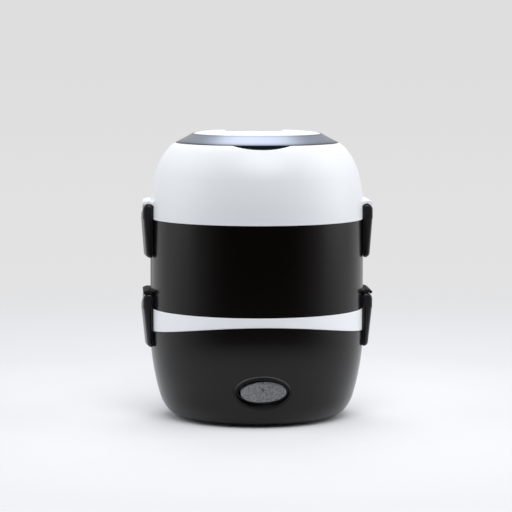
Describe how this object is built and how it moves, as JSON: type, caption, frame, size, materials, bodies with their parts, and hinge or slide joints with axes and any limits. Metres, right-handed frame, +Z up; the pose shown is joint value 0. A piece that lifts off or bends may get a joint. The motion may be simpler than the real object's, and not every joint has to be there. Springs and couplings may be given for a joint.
{
  "type": "electric lunch box",
  "caption": "Round tiered electric lunch box: white domed lid with a folding ring handle, black middle tier and base, side snap latches, oval rocker switch.",
  "frame": {"origin": "centre of the feet's resting plane, under the middle of the round body", "axes": "+Z up the body's axis, -Y is the front with the switch, the latches are at +X and -X"},
  "size_m": [0.1848, 0.1708, 0.2278],
  "materials": {
    "white_shell": "glossy white moulded polypropylene",
    "black_shell": "fine matt black, a little brown",
    "latch_black": "satin black",
    "handle_black": "glossy blue-black",
    "white_liner": "plain white moulded polypropylene",
    "silicone": "translucent white silicone",
    "stainless": "spun stainless steel",
    "cast_alloy": "cast, dull",
    "bezel_black": "satin black",
    "rocker_clear": "smoky translucent, frosted",
    "insulator": "black moulded",
    "contact_metal": "plated brass",
    "pin_steel": "plain",
    "foot_rubber": "matt black rubber",
    "bowl_lid_clear": "milky polypropylene",
    "ceramic_white": "moulded, off-white"
  },
  "bodies": {
    "base": {"base_shell": "black_shell", "base_collar": "white_shell", "heating_pan": "stainless", "heating_plate": "cast_alloy", "thermostat": "ceramic_white", "thermal_fuse": "contact_metal", "fuse_clip": "pin_steel", "bottom_cover": "black_shell", "rubber_feet": "foot_rubber", "bottom_screws": "pin_steel", "switch_bezel": "bezel_black", "switch_housing": "insulator", "switch_terminals": "contact_metal", "inlet_socket": "insulator", "inlet_pins": "contact_metal"},
    "switch": {"switch_rocker": "rocker_clear"},
    "middle_tier": {"middle_shell": "black_shell", "middle_liner": "white_liner", "middle_gasket": "silicone", "lower_latch_pins": "pin_steel"},
    "lid": {"lid_shell": "white_shell", "lid_liner": "white_liner", "lid_gasket": "silicone", "crown_cap": "white_shell", "crown_screws": "pin_steel", "rear_trim": "handle_black", "handle_pins": "pin_steel", "upper_latch_pins": "pin_steel"},
    "handle": {"handle": "handle_black"},
    "left_upper_latch": {"left_upper_latch": "latch_black"},
    "right_upper_latch": {"right_upper_latch": "latch_black"},
    "left_lower_latch": {"left_lower_latch": "latch_black"},
    "right_lower_latch": {"right_lower_latch": "latch_black"},
    "lower_bowl": {"lower_bowl": "stainless"},
    "lower_bowl_lid": {"lower_bowl_lid": "bowl_lid_clear"},
    "middle_bowl": {"middle_bowl": "stainless"},
    "middle_bowl_lid": {"middle_bowl_lid": "bowl_lid_clear"},
    "steam_tray": {"steam_tray": "white_liner"},
    "upper_bowl": {"upper_bowl": "stainless"},
    "upper_bowl_lid": {"upper_bowl_lid": "bowl_lid_clear"}
  },
  "joints": [
    {"name": "middle_lift", "type": "slide", "parent": "base", "child": "middle_tier", "axis": [0, 0, 1], "range_m": [0, 0.12]},
    {"name": "lid_lift", "type": "slide", "parent": "middle_tier", "child": "lid", "axis": [0, 0, 1], "range_m": [0, 0.26]},
    {"name": "lower_bowl_lift", "type": "slide", "parent": "base", "child": "lower_bowl", "axis": [0, 0, 1], "range_m": [0, 0.0557]},
    {"name": "lower_bowl_lid_lift", "type": "slide", "parent": "base", "child": "lower_bowl_lid", "axis": [0, 0, 1], "range_m": [0, 0.0749]},
    {"name": "middle_bowl_lift", "type": "slide", "parent": "middle_tier", "child": "middle_bowl", "axis": [0, 0, 1], "range_m": [0, 0.0707]},
    {"name": "middle_bowl_lid_lift", "type": "slide", "parent": "middle_tier", "child": "middle_bowl_lid", "axis": [0, 0, 1], "range_m": [0, 0.0941]},
    {"name": "tray_lift", "type": "slide", "parent": "middle_tier", "child": "steam_tray", "axis": [0, 0, 1], "range_m": [0, 0.1357]},
    {"name": "upper_bowl_lift", "type": "slide", "parent": "middle_tier", "child": "upper_bowl", "axis": [0, 0, 1], "range_m": [0, 0.1721]},
    {"name": "upper_bowl_lid_lift", "type": "slide", "parent": "middle_tier", "child": "upper_bowl_lid", "axis": [0, 0, 1], "range_m": [0, 0.1981]},
    {"name": "left_upper_latch_hinge", "type": "hinge", "parent": "lid", "child": "left_upper_latch", "pos_m": [-0.0867, 0, 0.1666], "axis": [0, 1, 0], "range_deg": [0, 55.2]},
    {"name": "right_upper_latch_hinge", "type": "hinge", "parent": "lid", "child": "right_upper_latch", "pos_m": [0.0867, 0, 0.1666], "axis": [0, -1, 0], "range_deg": [0, 55.2]},
    {"name": "left_lower_latch_hinge", "type": "hinge", "parent": "middle_tier", "child": "left_lower_latch", "pos_m": [-0.0867, 0, 0.0955], "axis": [0, 1, 0], "range_deg": [0, 55.2]},
    {"name": "right_lower_latch_hinge", "type": "hinge", "parent": "middle_tier", "child": "right_lower_latch", "pos_m": [0.0867, 0, 0.0955], "axis": [0, -1, 0], "range_deg": [0, 55.2]},
    {"name": "handle_hinge", "type": "hinge", "parent": "lid", "child": "handle", "pos_m": [0, 0, 0.22165], "axis": [-1, 0, 0], "range_deg": [0, 90]},
    {"name": "rocker_hinge", "type": "hinge", "parent": "base", "child": "switch", "pos_m": [0, -0.07018, 0.03136], "axis": [0, 0.2252, -0.9743], "range_deg": [0, 10]}
  ],
  "couplings": [
    {"joint": "lower_bowl_lift", "follows": "middle_lift", "ratio": 0.46},
    {"joint": "lower_bowl_lid_lift", "follows": "middle_lift", "ratio": 0.62},
    {"joint": "middle_bowl_lift", "follows": "lid_lift", "ratio": 0.27},
    {"joint": "middle_bowl_lid_lift", "follows": "lid_lift", "ratio": 0.36},
    {"joint": "tray_lift", "follows": "lid_lift", "ratio": 0.52},
    {"joint": "upper_bowl_lift", "follows": "lid_lift", "ratio": 0.66},
    {"joint": "upper_bowl_lid_lift", "follows": "lid_lift", "ratio": 0.76},
    {"joint": "left_upper_latch_hinge", "follows": "lid_lift", "rad_per_m": 3.692},
    {"joint": "right_upper_latch_hinge", "follows": "lid_lift", "rad_per_m": 3.692},
    {"joint": "left_lower_latch_hinge", "follows": "middle_lift", "rad_per_m": 7.9994},
    {"joint": "right_lower_latch_hinge", "follows": "middle_lift", "rad_per_m": 7.9994}
  ]
}
